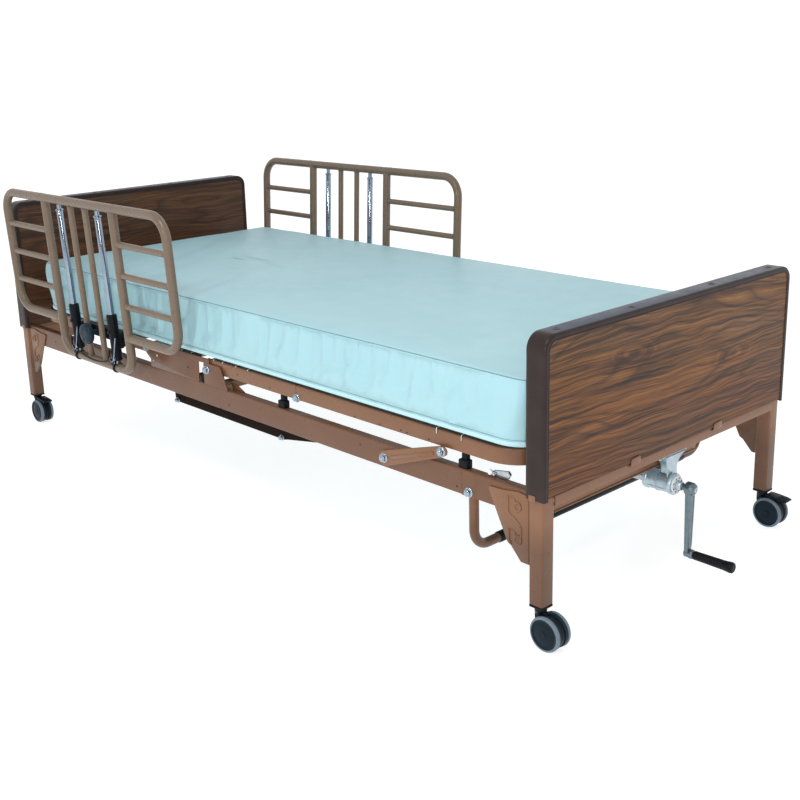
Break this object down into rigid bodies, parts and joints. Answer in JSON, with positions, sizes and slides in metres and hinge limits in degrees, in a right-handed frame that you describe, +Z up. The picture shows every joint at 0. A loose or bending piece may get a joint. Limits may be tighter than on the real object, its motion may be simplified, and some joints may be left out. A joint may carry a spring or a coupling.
{
  "type": "adjustable hospital bed",
  "caption": "Adjustable home-care bed with wood-look end panels, hinged spring deck, vinyl mattress, sliding half side rails, telescoping legs, casters and a hand crank.",
  "frame": {"origin": "on the floor, under the middle of the bed's bounding box", "axes": "+X along the bed from the head end to the foot end, +Z up, +Y to the side away from the near rail"},
  "size_m": [2.3895, 1.0698, 0.7999],
  "materials": {
    "brown_steel": "satin",
    "taupe_steel": "satin",
    "walnut": "satin laminate",
    "dark_trim": "satin",
    "aqua_vinyl": "satin coated",
    "chrome": "polished",
    "zinc": "satin",
    "cast_alloy": "as cast",
    "black_plastic": "satin",
    "black_grip": "ribbed",
    "grey_tread": "smooth"
  },
  "bodies": {
    "bed_frame": {"foot_end_frame": "brown_steel", "head_end_frame": "brown_steel", "foot_board": "walnut", "head_board": "walnut", "foot_trim": "dark_trim", "head_trim": "dark_trim", "foot_gearbox": "cast_alloy", "head_gearbox": "cast_alloy", "base_rail_near": "brown_steel", "base_rail_far": "brown_steel", "cross_member_a": "brown_steel", "cross_member_b": "brown_steel", "lift_motor": "black_plastic", "seat_springs": "zinc", "mattress_seat": "aqua_vinyl"},
    "foot_legs": {"inner_leg_foot_near": "brown_steel", "inner_leg_foot_far": "brown_steel"},
    "head_legs": {"inner_leg_head_near": "brown_steel", "inner_leg_head_far": "brown_steel"},
    "crank": {"crank_arm": "cast_alloy"},
    "grip": {"crank_grip": "black_grip"},
    "shaft": {"drive_shaft": "zinc"},
    "foot_shaft": {"foot_cross_shaft": "zinc"},
    "head_shaft": {"head_cross_shaft": "zinc"},
    "back_section": {"back_frame": "brown_steel", "back_springs": "zinc", "mattress_back": "aqua_vinyl", "mattress_fold_back": "aqua_vinyl", "rail_mount_near": "black_plastic", "rail_mount_far": "black_plastic"},
    "near_rail": {"side_rail_near": "taupe_steel", "rail_post_near_a": "chrome", "rail_post_near_b": "chrome"},
    "far_rail": {"side_rail_far": "taupe_steel", "rail_post_far_a": "chrome", "rail_post_far_b": "chrome"},
    "near_knob": {"rail_knob_near": "black_plastic"},
    "far_knob": {"rail_knob_far": "black_plastic"},
    "thigh_section": {"thigh_frame": "brown_steel", "thigh_springs": "zinc", "mattress_thigh": "aqua_vinyl", "mattress_fold_thigh": "aqua_vinyl"},
    "calf_section": {"calf_frame": "brown_steel", "calf_springs": "zinc", "mattress_calf": "aqua_vinyl"},
    "calf_links": {"calf_link_near": "brown_steel", "calf_link_far": "brown_steel"},
    "back_rod": {"back_lift_rod": "zinc"},
    "knee_rod": {"knee_lift_rod": "zinc"},
    "bail": {"foot_bail": "brown_steel"},
    "caster_foot_near": {"caster_fork_foot_near": "black_plastic"},
    "wheels_foot_near": {"caster_wheels_foot_near": "grey_tread"},
    "caster_foot_far": {"caster_fork_foot_far": "black_plastic"},
    "wheels_foot_far": {"caster_wheels_foot_far": "grey_tread"},
    "caster_head_near": {"caster_fork_head_near": "black_plastic"},
    "wheels_head_near": {"caster_wheels_head_near": "grey_tread"},
    "caster_head_far": {"caster_fork_head_far": "black_plastic"},
    "wheels_head_far": {"caster_wheels_head_far": "grey_tread"},
    "brake_foot_far": {"brake_pedal_foot_far": "black_plastic"},
    "brake_head_near": {"brake_pedal_head_near": "black_plastic"}
  },
  "joints": [
    {"name": "bed_height", "type": "slide", "parent": "bed_frame", "child": "foot_legs", "axis": [0, 0, -1], "range_m": [0, 0.2286]},
    {"name": "head_height", "type": "slide", "parent": "bed_frame", "child": "head_legs", "axis": [0, 0, -1], "range_m": [0, 0.2286]},
    {"name": "crank_turn", "type": "hinge", "parent": "bed_frame", "child": "crank", "pos_m": [1.073, 0, 0.234], "axis": [1, 0, 0], "range_deg": [0, 12960]},
    {"name": "shaft_turn", "type": "hinge", "parent": "bed_frame", "child": "shaft", "pos_m": [-0.077, 0, 0.234], "axis": [1, 0, 0], "range_deg": [0, 12960]},
    {"name": "foot_shaft_turn", "type": "hinge", "parent": "bed_frame", "child": "foot_shaft", "pos_m": [1.017, 0, 0.313], "axis": [0, 1, 0], "range_deg": [0, 12960]},
    {"name": "head_shaft_turn", "type": "hinge", "parent": "bed_frame", "child": "head_shaft", "pos_m": [-1.171, 0, 0.313], "axis": [0, 1, 0], "range_deg": [0, 12960]},
    {"name": "grip_spin", "type": "hinge", "parent": "crank", "child": "grip", "pos_m": [1.123, 0, 0.08], "axis": [1, 0, 0], "continuous": true},
    {"name": "swivel_foot_near", "type": "hinge", "parent": "foot_legs", "child": "caster_foot_near", "pos_m": [1.0145, -0.433, 0.08], "axis": [0, 0, 1], "continuous": true},
    {"name": "roll_foot_near", "type": "hinge", "parent": "caster_foot_near", "child": "wheels_foot_near", "pos_m": [1.0395, -0.433, 0.038], "axis": [0, 1, 0], "continuous": true},
    {"name": "swivel_foot_far", "type": "hinge", "parent": "foot_legs", "child": "caster_foot_far", "pos_m": [1.0145, 0.433, 0.08], "axis": [0, 0, 1], "continuous": true},
    {"name": "roll_foot_far", "type": "hinge", "parent": "caster_foot_far", "child": "wheels_foot_far", "pos_m": [1.0395, 0.433, 0.038], "axis": [0, 1, 0], "continuous": true},
    {"name": "swivel_head_near", "type": "hinge", "parent": "head_legs", "child": "caster_head_near", "pos_m": [-1.1685, -0.433, 0.08], "axis": [0, 0, 1], "continuous": true},
    {"name": "roll_head_near", "type": "hinge", "parent": "caster_head_near", "child": "wheels_head_near", "pos_m": [-1.1435, -0.433, 0.038], "axis": [0, 1, 0], "continuous": true},
    {"name": "swivel_head_far", "type": "hinge", "parent": "head_legs", "child": "caster_head_far", "pos_m": [-1.1685, 0.433, 0.08], "axis": [0, 0, 1], "continuous": true},
    {"name": "roll_head_far", "type": "hinge", "parent": "caster_head_far", "child": "wheels_head_far", "pos_m": [-1.1435, 0.433, 0.038], "axis": [0, 1, 0], "continuous": true},
    {"name": "brake_foot_far", "type": "hinge", "parent": "caster_foot_far", "child": "brake_foot_far", "pos_m": [1.0325, 0.433, 0.081], "axis": [0, 1, 0], "range_deg": [0, 10]},
    {"name": "brake_head_near", "type": "hinge", "parent": "caster_head_near", "child": "brake_head_near", "pos_m": [-1.1505, -0.433, 0.081], "axis": [0, 1, 0], "range_deg": [0, 10]},
    {"name": "back_lift", "type": "hinge", "parent": "bed_frame", "child": "back_section", "pos_m": [-0.427, 0, 0.385], "axis": [0, 1, 0], "range_deg": [0, 65], "deforming": ["mattress_fold_back"]},
    {"name": "rail_near", "type": "slide", "parent": "back_section", "child": "near_rail", "axis": [0, 0.0523, -0.9986], "range_m": [0, 0.25]},
    {"name": "release_near", "type": "slide", "parent": "back_section", "child": "near_knob", "axis": [0, -0.9986, -0.0523], "range_m": [0, 0.008], "stiffness_N_per_m": 600, "springref_m": -0.004},
    {"name": "rail_far", "type": "slide", "parent": "back_section", "child": "far_rail", "axis": [0, -0.0523, -0.9986], "range_m": [0, 0.25]},
    {"name": "release_far", "type": "slide", "parent": "back_section", "child": "far_knob", "axis": [0, 0.9986, -0.0523], "range_m": [0, 0.008], "stiffness_N_per_m": 600, "springref_m": -0.004},
    {"name": "thigh_lift", "type": "hinge", "parent": "bed_frame", "child": "thigh_section", "pos_m": [-0.129, 0, 0.373], "axis": [0, -1, 0], "range_deg": [0, 35], "deforming": ["mattress_fold_thigh"]},
    {"name": "calf_fold", "type": "hinge", "parent": "thigh_section", "child": "calf_section", "pos_m": [0.247, 0, 0.372], "axis": [0, 1, 0], "range_deg": [0, 48]},
    {"name": "link_swing", "type": "hinge", "parent": "bed_frame", "child": "calf_links", "pos_m": [0.569, 0, 0.301], "axis": [0, -1, 0], "range_deg": [0, 42]},
    {"name": "back_rod_push", "type": "slide", "parent": "bed_frame", "child": "back_rod", "axis": [-1, 0, 0], "range_m": [0, 0.0865]},
    {"name": "knee_rod_push", "type": "slide", "parent": "bed_frame", "child": "knee_rod", "axis": [1, 0, 0], "range_m": [0, 0.0355]},
    {"name": "bail_swing", "type": "hinge", "parent": "bed_frame", "child": "bail", "pos_m": [0.825, 0, 0.286], "axis": [0, 1, 0], "range_deg": [-20, 30]}
  ],
  "couplings": [
    {"joint": "head_height", "follows": "bed_height", "ratio": 1},
    {"joint": "crank_turn", "follows": "bed_height", "rad_per_m": 989.48},
    {"joint": "shaft_turn", "follows": "bed_height", "rad_per_m": 989.48},
    {"joint": "foot_shaft_turn", "follows": "bed_height", "rad_per_m": 989.48},
    {"joint": "head_shaft_turn", "follows": "bed_height", "rad_per_m": 989.48},
    {"joint": "calf_fold", "follows": "thigh_lift", "ratio": 1.3636},
    {"joint": "link_swing", "follows": "thigh_lift", "ratio": 1.1602},
    {"joint": "back_rod_push", "follows": "back_lift", "m_per_rad": 0.075807},
    {"joint": "knee_rod_push", "follows": "thigh_lift", "m_per_rad": 0.057296}
  ]
}
